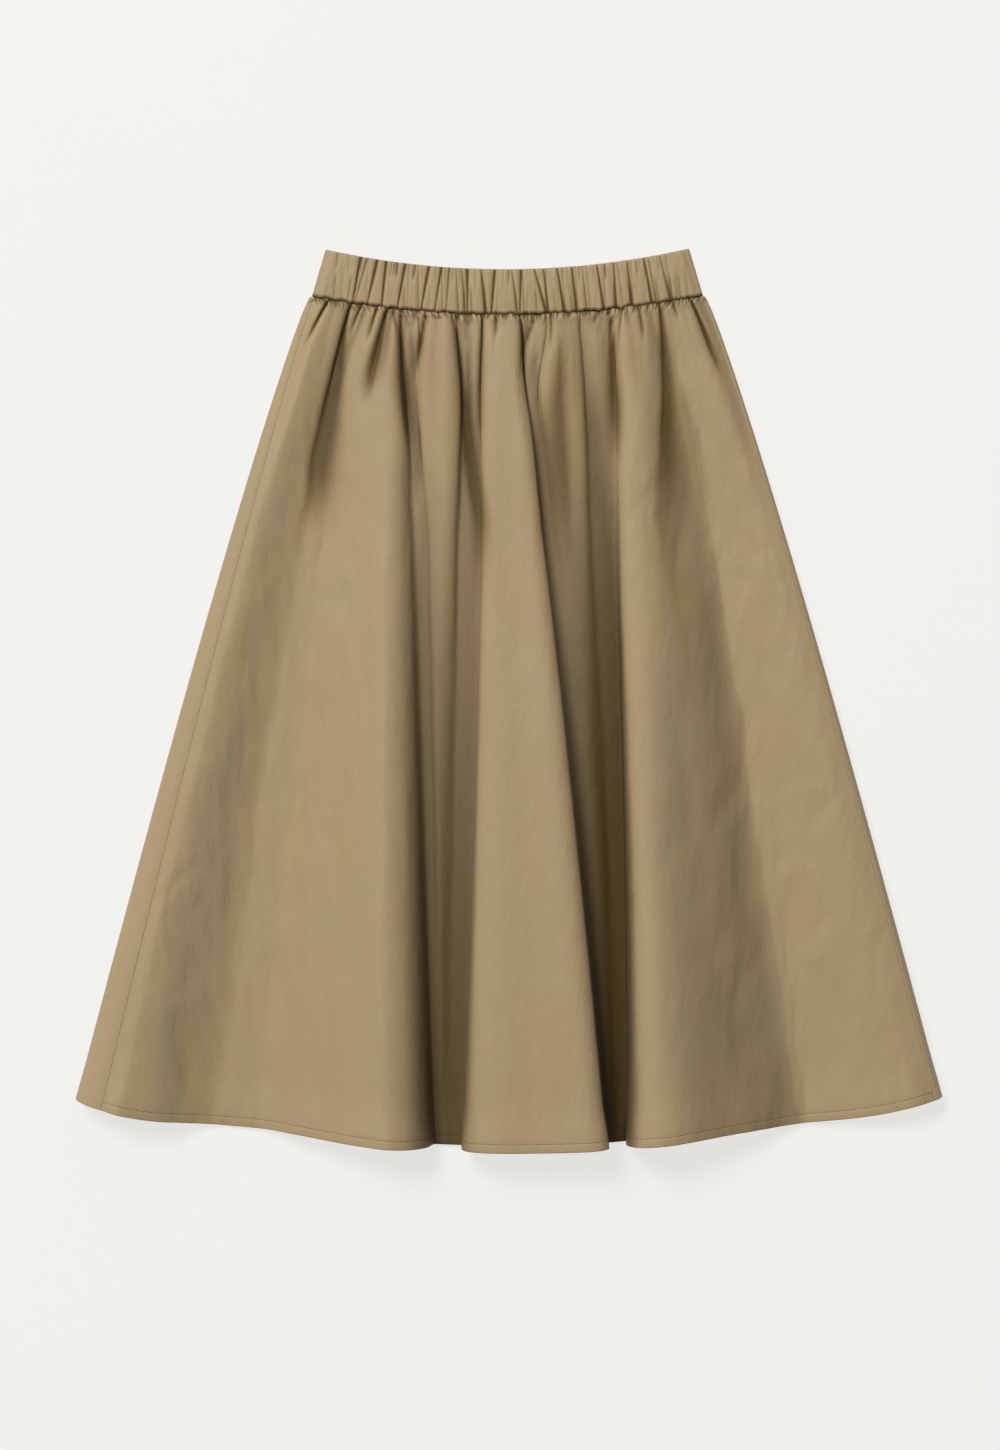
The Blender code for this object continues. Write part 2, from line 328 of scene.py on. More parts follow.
BACK_GATHERS = tuple(
    Gather(seam, 0.93 * seam, reach, depth, width, 0.0)
    for seam, reach, depth, width in (
        (-0.86, 0.14, 0.9, 3.0), (-0.71, 0.24, 1.0, 3.4), (-0.58, 0.10, 0.7, 2.4),
        (-0.45, 0.20, 0.9, 2.8), (-0.33, 0.08, 0.6, 2.2), (-0.19, 0.26, 1.0, 3.2),
        (-0.06, 0.10, 0.8, 2.4), (0.09, 0.18, 0.9, 2.8), (0.23, 0.09, 0.6, 2.2),
        (0.34, 0.24, 1.0, 3.4), (0.49, 0.12, 0.8, 2.6), (0.63, 0.22, 0.9, 3.0),
        (0.76, 0.08, 0.7, 2.2), (0.88, 0.15, 0.9, 2.8),
    )
)
HOLDS = 0.35
WIDTH_AT_SEAM = 0.7
WIDENING = 14.0
FRONT_PUFF = 6.5 * MM
BACK_PUFF = 0.9 * MM
PUFF_RISE = 0.007
PUFF_FULL = 0.03
PUFF_REACH = 0.30
TICK_SPACING = 4.2 * MM
TICK_HEIGHT = 1.5 * MM
TICK_REACH = 0.016


def creases_at(gathers, down):
    """The creases that still show at a place down the skirt: where, how deep and how wide."""
    share = min(1.0, 4.0 * down)
    found = []
    for gather in gathers:
        fade = fall(HOLDS * gather.reach, gather.reach, down)
        if fade > 0.0:
            place = gather.seam + (gather.quarter - gather.seam) * share
            width = MM * gather.width * (WIDTH_AT_SEAM + WIDENING * down)
            spread = MM * gather.spread * (10.0 * down) ** 1.5
            found.append((place, gather.depth * fade, width, spread))
    return found


def pillow(across, creases, wide):
    """What is left of a full puff between the creases, from 0 to 1."""
    left = 1.0
    for place, depth, width, spread in creases:
        distance = (across - place) * wide
        if distance * spread > 0.0:
            left *= 1.0 - depth * math.exp(-((distance / (width + abs(spread))) ** 2))
        else:
            left *= 1.0 - depth * math.exp(-abs(distance) / width)
    return left


def noise_at(x, y, seed):
    return noise.noise(Vector((x, y, seed)))


def ticks(cloth_x, down):
    """Tiny pleats, a few millimetres apart and long, all along the seam."""
    wave = abs(noise_at(cloth_x / TICK_SPACING, 60.0 * down, 31.0))
    fade = fall(0.2 * TICK_REACH, TICK_REACH, down)
    return TICK_HEIGHT * min(1.0, 3.5 * wave) * fade


def puff(down):
    return smooth_step(-1.2 * PUFF_RISE, PUFF_RISE, down) * fall(PUFF_FULL, PUFF_REACH, down)


print(len(FRONT_GATHERS), "creases in front and", len(BACK_GATHERS), "behind")

# %% [markdown]
# Lower down the leather has a few long, soft folds that aren't flutes: shallow troughs, and the
# faint ridges beside them. Each is a bell curve across the cloth, with a height in millimetres at
# the seam, a quarter of the way down and at the hem, negative for a trough. A pull is the same
# across the cloth: it moves a fold sideways, to the right or, when negative, to the left, without
# lifting it. It has the two depths between which it grows to its full strength.

# %% Long soft folds
Fold = namedtuple("Fold", "place height width")
FRONT_FOLDS = (
    Fold((0.045, 0.125, 0.205), (0.0, 3.5, 6.5), 22.0),
    Fold((-0.255, -0.168, -0.150), (-1.0, -2.2, 0.0), 9.0),
    Fold((-0.30, -0.235, -0.20), (0.5, 1.8, 0.5), 9.0),
    Fold((0.375, 0.345, 0.300), (-1.0, -2.0, 0.0), 10.0),
    Fold((-0.03, 0.02, 0.05), (0.0, -0.8, -1.5), 16.0),
    Fold((-0.70, -0.62, -0.50), (0.0, 1.2, 1.6), 12.0),
    Fold((0.84, 0.80, 0.66), (0.0, 1.4, 1.8), 12.0),
    Fold((-0.93, -0.95, -0.90), (0.0, 0.8, 1.4), 7.0),
)
Pull = namedtuple("Pull", "place shift width grows", defaults=((0.10, 0.30),))
FRONT_PULLS = (
    Pull((-0.63, -0.42, -0.262), (0.0, -5.0, -5.0), 14.0),
    Pull((-0.58, -0.36, -0.185), (0.0, 7.0, 7.0), 13.0),
    Pull((0.09, 0.175, 0.245), (-26.0, -9.5, -6.5), 18.0, (0.0, 0.12)),
    Pull((0.60, 0.43, 0.290), (0.0, -3.0, -4.5), 18.0),
)


def folds_at(folds, down):
    return [
        (at_depth(fold.place, down), MM * at_depth(fold.height, down), MM * fold.width)
        for fold in folds
    ]


def soft_folds(across, folds, wide):
    return sum(
        height * math.exp(-(((across - place) * wide / width) ** 2))
        for place, height, width in folds
    )


print(len(FRONT_FOLDS), "long folds and", len(FRONT_PULLS), "pulls")

# %% [markdown]
# Thin leather also keeps the marks of being handled: small soft dents that follow the folds, and
# here and there a short sharp crease. Noise gives both, stretched along the cloth and bent by a
# second noise. Its absolute value turns the places where it crosses zero into sharp little
# valleys. The seeds are fixed points in the noise, so every run gives the same marks.

# %% Crumples
DENT_ACROSS = 0.0105
DENT_ALONG = 0.045
DENT_HEIGHT = 0.75 * MM
CREASE_SCALE = 0.032
CREASE_HEIGHT = 0.9 * MM
CRUMPLE_BEND = 0.6
BEND_SIZE = 0.05
HANDLED_SIZE = 0.07
WANDER = 5.0 * MM
WANDER_ZONE = (0.46, 0.60, 0.86, 0.94)
DRIFT_STARTS = (0.08, 0.30)


def crumple(cloth_x, cloth_y, seed):
    """The height of the dents and creases at a place on the cloth, in metres."""
    bend = CRUMPLE_BEND * noise_at(cloth_x / BEND_SIZE, cloth_y / BEND_SIZE, seed + 40.0)
    dent = noise_at(cloth_x / DENT_ACROSS + bend, cloth_y / DENT_ALONG + bend, seed)
    x = (cloth_x + 0.3 * cloth_y) / CREASE_SCALE
    y = (0.5 * cloth_y - 0.2 * cloth_x) / CREASE_SCALE
    crease = min(1.0, 5.0 * abs(noise_at(x + bend, y - bend, seed + 20.0)))
    patch = noise_at(cloth_x / HANDLED_SIZE, cloth_y / HANDLED_SIZE, seed + 60.0)
    return DENT_HEIGHT * dent - CREASE_HEIGHT * smooth_step(0.1, 0.4, patch) * (1.0 - crease)


def wander(across, down, wide):
    """How far the folds of the outer thirds wander sideways, in metres."""
    x, y = across * wide, down * PANEL_LENGTH
    slow, quick = noise_at(x / 0.05, y / 0.085, 77.0), noise_at(x / 0.02, y / 0.032, 88.0)
    start, full, fading, end = WANDER_ZONE
    outer = smooth_step(start, full, abs(across)) * fall(fading, end, abs(across))
    return WANDER * (slow + 0.45 * quick) * outer * smooth_step(*DRIFT_STARTS, down)


def pulled(across, down, wide):
    """How far the pulls move a place of the front sideways, in metres."""
    shift = 0.0
    for pull in FRONT_PULLS:
        distance = (across - at_depth(pull.place, down)) * wide / (MM * pull.width)
        grown = smooth_step(*pull.grows, down)
        shift += MM * at_depth(pull.shift, down) * math.exp(-(distance**2)) * grown
    return shift


def crumple_share(across, down):
    """The marks are strongest beside the outer flutes and weakest on the middle one."""
    sides = smooth_step(0.25, 0.75, abs(across + 0.05))
    return (0.45 + 0.55 * sides) * smooth_step(0.02, 0.20, down)


print("one dent is about", round(0.5 * DENT_ALONG * 1000), "mm long")

# %% [markdown]
# The hem is turned up inside and stitched down, so its last 12 mm are twice as thick. On the
# outside that shows as a shallow groove under the stitches, a slightly swollen edge below it, and
# a few puckers where the thread pulls. Both layers rest on each other there, so they ride a little
# higher.

# %% The turned hem
HEM_TURN = 12.0 * MM
STITCH_LINE = 7.5 * MM
HEM_ROW_DISTANCES = (16.0, 14.0, 12.6, 11.4, 10.2, 9.2, 8.3, 7.5, 6.7, 5.6, 4.3, 3.0, 1.8, 0.8, 0.0)
HEM_SWELL = 0.20 * MM
HEM_GROOVE = 0.16 * MM
PUCKER_HEIGHT = 0.40 * MM
PUCKER_SPACING = 0.0055
PUCKERED_AT = -0.68


def turned(edge_distance):
    """1 where the hem is double, 0 above it."""
    return fall(HEM_TURN - 6.0 * MM, HEM_TURN + 30.0 * MM, edge_distance)


def hem_relief(across, cloth_x, edge_distance):
    below = fall(STITCH_LINE - 1.5 * MM, STITCH_LINE, edge_distance)
    edge = fall(0.0, 1.5 * MM, edge_distance)
    groove = math.exp(-(((edge_distance - STITCH_LINE) / (0.9 * MM)) ** 2))
    pull = 0.25 + 0.75 * fall(0.10, 0.30, abs(across - PUCKERED_AT))
    wave = noise_at(cloth_x / PUCKER_SPACING, 3.0, 7.0)
    reach = fall(STITCH_LINE, 2.4 * STITCH_LINE, edge_distance)
    return HEM_SWELL * (below - edge) - HEM_GROOVE * groove + PUCKER_HEIGHT * pull * wave * reach


print("the hem is double for its last", round(1000 * HEM_TURN), "mm")

# %% [markdown]
# Each panel is one bmesh grid. Its rows run across the skirt, closer together near the waist and
# at the hem, and its columns run down it. Every vertex is put on the CAD's section and then pushed
# along the section's normal by the relief. The same loop notes the place on the cloth, the creases
# and the turned hem. A Solidify modifier gives the leather its wall, doubled at the hem by a
# vertex group, and a second material inside. The first half millimetre turns down into the waist
# seam, so the pillows are shut there.

# %% Lay a panel's vertices
ROWS = 116
ROW_SPACING = 1.12
SEAM_ROW_DISTANCES = (0.0, 0.4, 0.9, 1.5, 2.2, 3.0, 4.0, 5.2, 6.6, 8.2, 10.0)
SIDE_PRESS = 0.012
LEAN_STARTS = (0.0, 0.12)
BACK_RELIEF = 0.5 * MM
SEAM_TUCK = 0.5 * MM


def row_places():
    first = (SEAM_ROW_DISTANCES[-1] + 2.5) * MM / PANEL_LENGTH
    last = 1.0 - (HEM_ROW_DISTANCES[0] + 2.0) * MM / PANEL_LENGTH
    seam = [distance * MM / PANEL_LENGTH for distance in SEAM_ROW_DISTANCES]
    plain = [first + (last - first) * (row / ROWS) ** ROW_SPACING for row in range(ROWS + 1)]
    return seam + plain + [1.0 - distance * MM / PANEL_LENGTH for distance in HEM_ROW_DISTANCES]


def section_frame(points, wide):
    """Metres along the cloth for each point of a section, and its normals, across and up."""
    flat = [(across * wide, height) for across, height in points]
    run = [0.0]
    for here, there in zip(flat, flat[1:]):
        run.append(run[-1] + math.dist(here, there))
    normals = []
    for index in range(len(flat)):
        before, after = flat[max(0, index - 1)], flat[min(len(flat) - 1, index + 1)]
        length = math.dist(before, after)
        normals.append(((before[1] - after[1]) / length, (after[0] - before[0]) / length))
    return run, normals


def front_relief(across, down, cloth_x, rise, creases, behind, folds, wide):
    edge_distance = (1.0 - down) * PANEL_LENGTH
    cut = pillow(across, creases, wide)
    lift = FRONT_PUFF * puff(down) * cut + soft_folds(across, folds, wide) + ticks(cloth_x, down)
    lift += BACK_PUFF * puff(down) * pillow(across, behind, wide)
    lift += BACK_RELIEF * crumple_share(across, down)
    lift += crumple_share(across, down) * crumple(cloth_x, down * PANEL_LENGTH, 0.0)
    lift += hem_relief(across, cloth_x, edge_distance) + 1.5 * LEATHER * turned(edge_distance)
    tucked_in = smooth_step(0.0, SEAM_TUCK, down * PANEL_LENGTH)
    # The second value, how deeply the creases cut here, becomes painted shade in the leather's
    # colour.
    return lift * smooth_step(-0.2, 0.5, rise) * tucked_in, 1.0 - cut


def back_relief(across, down, cloth_x, rise, creases, behind, folds, wide):
    """The back lies on the floor, so its creases can only rise into the skirt."""
    edge_distance = (1.0 - down) * PANEL_LENGTH
    cut = pillow(across, creases, wide)
    lift = BACK_PUFF * puff(down) * (1.0 - cut)
    lift += crumple_share(across, down) * max(0.0, crumple(cloth_x, down * PANEL_LENGTH, 60.0))
    lift += 0.5 * LEATHER * turned(edge_distance)
    # The second value becomes painted shade in the leather's colour, as on the front.
    return lift * smooth_step(0.0, 0.8, rise), 1.0 - cut


def lay_panel(knots_at, counts, relief, gathers, behind, folds):
    """Rows of (point, u, v, crease, turned) for a panel."""
    rows = []
    front = relief is front_relief
    for down in row_places():
        wide = half_width(down)
        points = section(knots_at(down), counts)
        run, normals = section_frame(points, wide)
        creases, others = creases_at(gathers, down), creases_at(behind, down)
        soft = folds_at(folds, down)
        level = front_level(down) if front else BACK_LEVEL
        double = turned((1.0 - down) * PANEL_LENGTH)
        row = []
        for (across, height), along, (lean, rise) in zip(points, run, normals):
            cloth_x = along - 0.5 * run[-1]
            lift, crease = relief(across, down, cloth_x, rise, creases, others, soft, wide)
            lift *= smooth_step(0.0, SIDE_PRESS, min(along, run[-1] - along))
            lean *= smooth_step(*LEAN_STARTS, down)
            drift = wander(across, down, wide) + pulled(across, down, wide) if front else 0.0
            height = max(height + lift * rise, min(height, level))
            place = (across + lift * lean / wide + drift / wide, height)
            row.append((place, cloth_x, down * PANEL_LENGTH, crease, double))
        rows.append((down, row))
    return rows


front_rows = lay_panel(
    front_knots, front_counts, front_relief, FRONT_GATHERS, BACK_GATHERS, FRONT_FOLDS
)
back_rows = lay_panel(back_knots, back_counts, back_relief, BACK_GATHERS, (), ())
print("rows:", len(front_rows), "with", len(front_rows[0][1]), "points in the front's")

# %% [markdown]
# Shade is painted into the leather's colour, darker the deeper a place lies in a fold. A number
# for each vertex says how open it lies, from 1 on a crest to 0 in a deep fold. It comes from how
# far the leather rises on both sides of it in its own row: within a few millimetres for the
# creases, and as far as the row goes for the two folds beside the middle flute. Those count more
# beside a high wall, but not in the corner below it, where the real shadow is enough. The outer
# right flute's long slope faces away from the lamp, so it is painted darker as well, the more the
# steeper it falls, and so is the last millimetre beside the waist seam.

# %% How open every place lies
NEAR = 14.0 * MM
NEAR_DEPTH = 6.0 * MM
NEAR_ENDS = (0.12, 0.30)
WALL_REACH = 30.0 * MM
WALL_SHARE = 0.6
CORNER_REACH = 7.0 * MM
SLOPE_STEP = 12.0 * MM
RIGHT_SLOPE_SHADE = 0.72
SLOPE_START = 0.34
SLOPE_BLEND = 0.10
FOLD_SHARE = 0.6
FAR_DEPTH = 15.5 * MM
FOLD_LIP = 5.0 * MM
RIGHT_FOLD = 1.85
FOLD_MIDDLE = 0.03
INNER_FOLDS = 0.42
INNER_BLEND = 0.08
SEAM_SHADE = 0.80
SEAM_SHADE_REACH = 1.1 * MM


def sunk(rise, side):
    """How far the leather rises on one side of every point."""
    return np.where(side, rise, 0.0).max(axis=1)


def seam_shade(distance):
    """The last millimetre beside the waist seam sinks into it."""
    return 1.0 - SEAM_SHADE * math.exp(-((distance / SEAM_SHADE_REACH) ** 2))


def openness(row, wide, down):
    across = np.array([place[0] for place, *_ in row])
    height = np.array([place[1] for place, *_ in row])
    index = np.arange(len(row))
    to_left, to_right = index[None, :] < index[:, None], index[None, :] > index[:, None]
    distance = wide * np.abs(across[None, :] - across[:, None])
    rise = height[None, :] - height[:, None]
    near = distance < NEAR
    crease = np.minimum(sunk(rise, to_left & near), sunk(rise, to_right & near))
    crease *= fall(*NEAR_ENDS, down)
    fold = np.minimum(sunk(rise, to_left), sunk(rise, to_right))
    beside = rise * np.exp(-distance / WALL_REACH)
    wall = np.where(across > FOLD_MIDDLE, sunk(beside, to_right), sunk(beside, to_left))
    corner = sunk(rise * np.exp(-distance / CORNER_REACH), to_left) / (fold + 1.0 * MM)
    fold = FOLD_SHARE * fold + WALL_SHARE * np.minimum(wall, fold)
    fold *= 1.0 - np.clip(corner, 0.0, 1.0)
    inside = np.clip((INNER_FOLDS - np.abs(across - FOLD_MIDDLE)) / INNER_BLEND, 0.0, 1.0)
    share = np.where(across > FOLD_MIDDLE, RIGHT_FOLD, 1.0) * inside
    deep = share * np.maximum(fold - FOLD_LIP, 0.0) / FAR_DEPTH
    step = SLOPE_STEP / wide
    slope = np.interp(across - step, across, height) - np.interp(across + step, across, height)
    slope = np.clip(0.5 * slope / SLOPE_STEP, 0.0, 0.5)
    # Painted shade on the outer right slope, which faces away from the lamp, more the steeper it
    # falls.
    slope_shade = RIGHT_SLOPE_SHADE * np.clip((across - SLOPE_START) / SLOPE_BLEND, 0.0, 1.0) * slope
    opened = (1.0 - slope_shade) * np.exp(-np.maximum(crease / NEAR_DEPTH, deep))
    return opened * seam_shade(down * PANEL_LENGTH)


front_open = [openness(row, half_width(down), down) for down, row in front_rows]
print("the darkest place lies", round(float(min(values.min() for values in front_open)), 3), "open")

# %% [markdown]
# The seam between the panels and the waistband isn't a ruled line. The elastic pulls it into
# little waves, and both pieces share them.

# %% The crinkled waist seam
SEAM_WAVE = 1.9 * MM
SEAM_WAVE_REACH = 0.012


def seam_wave(along):
    """How far the waist seam is drawn down, at a place in metres from its middle."""
    slow, quick = noise_at(along / 0.0065, 11.0, 5.0), noise_at(along / 0.0026, 17.0, 9.0)
    return SEAM_WAVE * (slow + 0.6 * quick)


print("seam wave at the middle:", round(1000 * seam_wave(0.0), 2), "mm")

# %% [markdown]
# bmesh makes a flat, even grid in one call. Each vertex knows its column and row from where it
# lies, and a function then moves it to its real place. The UV map and the two numbers of every
# vertex stay with the leather wherever a fold takes it.

# %% A grid becomes a panel
def shorten_ends(points, gap):
    for end, inner in ((0, 1), (-1, -2)):
        points[end] = points[end].lerp(points[inner], gap / (points[end] - points[inner]).length)
    return points


def panel_points(down, row):
    points = []
    fade = fall(0.0, SEAM_WAVE_REACH, down * PANEL_LENGTH)
    for (across, height), *_ in row:
        point = on_panel(across, down, height)
        outward = Vector((point.x, point.y - FAN_Y, 0.0)).normalized()
        points.append(point + outward * seam_wave(across * half_width(down)) * fade)
    return shorten_ends(points, 0.25 * SEAM_GAP)


def flat_grid(columns, rows, place):
    """A bmesh grid put in place by a function of column and row, and those two for each vertex."""
    sheet = bmesh.new()
    bmesh.ops.create_grid(sheet, x_segments=columns, y_segments=rows, size=1.0)
    places = []
    for point in sheet.verts:
        column = round(0.5 * (point.co.x + 1.0) * columns)
        row = round(0.5 * (1.0 - point.co.y) * rows)
        places.append((column, row))
        point.co = place(column, row)
    return sheet, places


def link_object(name, data):
    made = bpy.data.objects.new(name, data)
    bpy.context.scene.collection.objects.link(made)
    return made


def add_object(name, sheet, materials):
    mesh = bpy.data.meshes.new(name)
    sheet.to_mesh(mesh)
    sheet.free()
    for material in materials:
        mesh.materials.append(material)
    mesh.shade_smooth()
    return link_object(name, mesh)


def write_cloth_map(piece, values):
    """A UV map in metres on the cloth, and two attributes, from (u, v, crease, open) a vertex."""
    mesh = piece.data
    cloth = mesh.uv_layers.new(name="cloth")
    for loop in mesh.loops:
        cloth.uv[loop.index].vector = values[loop.vertex_index][:2]
    for column, name in ((2, "crease"), (3, "open")):
        attribute = mesh.attributes.new(name, "FLOAT", "POINT")
        for index, value in enumerate(values):
            attribute.data[index].value = value[column]


print("a grid's points know their column and row")

# %% [markdown]
# Every finish is built with one small way of writing shader maths. A Wire is the output of a node,
# and Python's own operators on it add Math nodes. Any other node comes from the finish's node
# method: its kind, its settings, and the values or wires of its inputs.

# %% Writing shader maths
class Wire:
    """The output of a shader node, which Python's operators can work on."""

    def __init__(self, finish, socket):
        self.finish = finish
        self.socket = socket

    def math(self, operation, *values):
        return self.finish.node("Math", {"operation": operation}, dict(enumerate(values)))

    def __add__(self, other):
        return self.math("ADD", self, other)

    __radd__ = __add__

    def __sub__(self, other):
        return self.math("SUBTRACT", self, other)

    def __rsub__(self, other):
        return self.math("SUBTRACT", other, self)

    def __mul__(self, other):
        return self.math("MULTIPLY", self, other)

    __rmul__ = __mul__

    def absolute(self):
        return self.math("ABSOLUTE", self)

    def between(self, low, high):
        """0 below low, 1 above high and smooth in between."""
        inputs = {"Value": self, "From Min": low, "From Max": high}
        return self.finish.node("MapRange", {"interpolation_type": "SMOOTHSTEP"}, inputs)


class Finish:
    """A material that is being put together around its Principled shader."""

    def __init__(self, name):
        self.material = bpy.data.materials.new(name)
        self.material.use_nodes = True
        self.tree = self.material.node_tree
        self.shader = self.tree.nodes["Principled BSDF"]

    def plug(self, socket, value):
        if isinstance(value, Wire):
            self.tree.links.new(value.socket, socket)
        else:
            socket.default_value = value

    def node(self, kind, settings=(), inputs=(), output=0):
        made = self.tree.nodes.new("ShaderNode" + kind)
        for name, value in dict(settings).items():
            setattr(made, name, value)
        for name, value in dict(inputs).items():
            self.plug(made.inputs[name], value)
        return Wire(self, made.outputs[output])

    def shade(self, **inputs):
        """Sets the shader's own sockets: Base_Color stands for Base Color."""
        for name, value in inputs.items():
            self.plug(self.shader.inputs[name.replace("_", " ")], value)
        return self.material

    def place(self, output="Object"):
        return self.node("TexCoord", output=output)

    def stretched(self, vector, scale, turn=0.0):
        inputs = {"Vector": vector, "Scale": scale, "Rotation": (0.0, 0.0, turn)}
        return self.node("Mapping", {}, inputs)

    def noise(self, vector, scale, detail=2.0, roughness=0.5):
        inputs = {"Vector": vector, "Scale": scale, "Detail": detail, "Roughness": roughness}
        return self.node("TexNoise", {}, inputs, output="Fac")

    def mix(self, share, first, second):
        return self.node("Mix", {"data_type": "RGBA"}, {0: share, 6: first, 7: second}, output=2)

    def bump(self, height, depth, strength=1.0, under=None):
        inputs = {"Height": height, "Distance": depth, "Strength": strength}
        if under is not None:
            inputs["Normal"] = under
        return self.node("Bump", {}, inputs)


def colour(red, green, blue):
    return (red, green, blue, 1.0)


print("finishes are written as expressions")

# %% [markdown]
# The leather is thin nappa, dyed khaki tan right through and almost matt: a very fine grain, a
# faint streakiness along the skirt and soft patches where the dye took a little greener or pinker.
# Shade is painted into its colour: warmer and darker in the creases, thin dark lines in the tiny
# pleats beside the waist seam, and dark brown deep in the folds, on the slope turned from the lamp
# and at the waist seam. Grain and patches read Object coordinates, and what follows the cloth reads
# the cloth's UV map.

# %% Leather outside and inside
TAN = colour(0.374, 0.273, 0.150)
TAN_GREENER = colour(0.363, 0.273, 0.151)
TAN_PINKER = colour(0.376, 0.266, 0.152)
TAN_YELLOWER = colour(0.372, 0.269, 0.132)
# Painted shade: the warmer and the dark brown tones that the creases are darkened towards.
TAN_CREASE_WARM_SHADE = colour(0.352, 0.246, 0.122)
TAN_CREASE_SHADE = colour(0.075, 0.040, 0.004)
# Painted shade: the dark brown for the deepest folds, the turned slope and the waist seam.
TAN_FOLD_SHADE = colour(0.058, 0.031, 0.003)
PLEATS_A_METRE = 170.0
TICK_FULL = 2.0 * MM
TICK_END = 9.0 * MM


def leather_finish(name, crease_shade=0.84):
    leather = Finish(name)
    place = leather.place()
    cloth = leather.place("UV")
    patches = leather.noise(place, 9.0, 3.0, 0.55)
    other_patches = leather.noise(leather.stretched(place, (1.0, 0.6, 1.0)), 15.0, 2.0)
    streaks = leather.noise(leather.stretched(cloth, (90.0, 5.0, 1.0)), 1.0, 3.0)
    tone = leather.mix(patches.between(0.48, 0.66), TAN, TAN_GREENER)
    tone = leather.mix(other_patches.between(0.52, 0.68), tone, TAN_PINKER)
    tone = leather.mix(streaks.between(0.50, 0.72) * 0.8, tone, TAN_YELLOWER)
    crease = leather.node("Attribute", {"attribute_name": "crease"}, output="Fac")
    # Painted shade in the creases of the gathers and ruches, darker the deeper they cut.
    tone = leather.mix(crease.between(0.05, 0.45), tone, TAN_CREASE_WARM_SHADE)
    tone = leather.mix(crease.between(0.20, 0.78) * crease_shade, tone, TAN_CREASE_SHADE)
    down = leather.node("SeparateXYZ", {}, {"Vector": cloth}, output=1)
    beside_seam = 1.0 - down.between(TICK_FULL, TICK_END)
    # Painted shade: thin dark lines in the tiny pleats beside the waist seam, which also bump the
    # leather.
    pleats = leather.noise(leather.stretched(cloth, (PLEATS_A_METRE, 25.0, 1.0)), 1.0, 1.0)
    pleats = (1.0 - (pleats - 0.5).absolute().between(0.01, 0.09)) * beside_seam
    tone = leather.mix(pleats * 0.75, tone, TAN_CREASE_SHADE)
    # Painted shade where the open number is low: deep folds, the turned slope and the waist seam.
    painted_shade = 1.0 - leather.node("Attribute", {"attribute_name": "open"}, output="Fac")
    tone = leather.mix(painted_shade, tone, TAN_FOLD_SHADE)
    grain = leather.node("TexVoronoi", {"feature": "SMOOTH_F1"}, {"Vector": place, "Scale": 1100.0})
    handled = leather.noise(leather.stretched(cloth, (70.0, 26.0, 1.0), 0.3), 1.0, 4.0, 0.55)
    ridges = (handled - 0.5).absolute()
    height = leather.bump(ridges, 2.0 * MM, 0.6)
    height = leather.bump(1.0 - pleats, 1.0 * MM, 0.8, height)
    height = leather.bump(grain, 0.06 * MM, 0.5, height)
    rough = 0.52 + 0.10 * patches - 0.06 * streaks
    leather.shade(Specular_IOR_Level=0.25, Sheen_Weight=0.04, Sheen_Roughness=0.4)
    return leather.shade(Base_Color=tone, Roughness=rough, Normal=height)


def suede_finish(name):
    suede = Finish(name)
    place = suede.place()
    fibres = suede.noise(place, 900.0, 3.0, 0.6)
    patches = suede.noise(place, 12.0, 3.0)
    tone = suede.mix(patches, colour(0.335, 0.250, 0.150), colour(0.385, 0.295, 0.185))
    tone = suede.mix(fibres.between(0.3, 0.7) * 0.35, tone, colour(0.26, 0.19, 0.11))
    height = suede.bump(fibres, 0.15 * MM, 0.6)
    return suede.shade(Base_Color=tone, Roughness=0.92, Normal=height, Specular_IOR_Level=0.2)


outside = leather_finish("leather_outside")
inside = suede_finish("leather_inside")
print("made", outside.name, "and", inside.name)

# %% [markdown]
# The front carries the flutes. The back lies below it, almost out of sight, and is made in the
# same way from its own rows, with its faces turned over so that they point down and outwards. The
# wall is left to the Solidify modifier, so the grid stays a single layer.

# %% Make the two panels
def make_panel(name, rows, opened, flip, node):
    points = [panel_points(down, row) for down, row in rows]
    columns, steps = len(points[0]) - 1, len(rows) - 1
    sheet, places = flat_grid(columns, steps, lambda column, row: points[row][column])
    if flip:
        bmesh.ops.reverse_faces(sheet, faces=sheet.faces[:])
    piece = add_object(name, sheet, (outside, inside))
    values = [
        (*rows[row][1][column][1:4], opened[row][column] if opened else 1.0)
        for column, row in places
    ]
    write_cloth_map(piece, values)
    turning = piece.vertex_groups.new(name="turned_hem")
    for index, (column, row) in enumerate(places):
        turning.add([index], rows[row][1][column][4], "REPLACE")
    wall = piece.modifiers.new("Leather", "SOLIDIFY")
    wall.thickness = 2.0 * LEATHER
    wall.vertex_group = turning.name
    wall.thickness_vertex_group = 0.5
    wall.offset = 0.0
    wall.material_offset = 1
    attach(piece, "root")
    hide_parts(node)
    print(name, "has", 4 * (columns * steps + columns + steps), "triangles with its wall")
    return piece, points


front_piece, front_points = make_panel(
    "front_panel_leather", front_rows, front_open, False, "front_panel"
)
back_piece, back_points = make_panel("back_panel_leather", back_rows, None, True, "back_panel")

# %% [markdown]
# The waistband is a casing of the same leather, closed round a 4 cm elastic. Flat on the floor it
# is a flattened ring: along the front, round a tight fold at each end and back along the back. Its
# section is a slim stadium. The elastic draws it into ruches, sharp little valleys from edge to
# edge, listed in millimetres from the middle along its top and bottom edges.

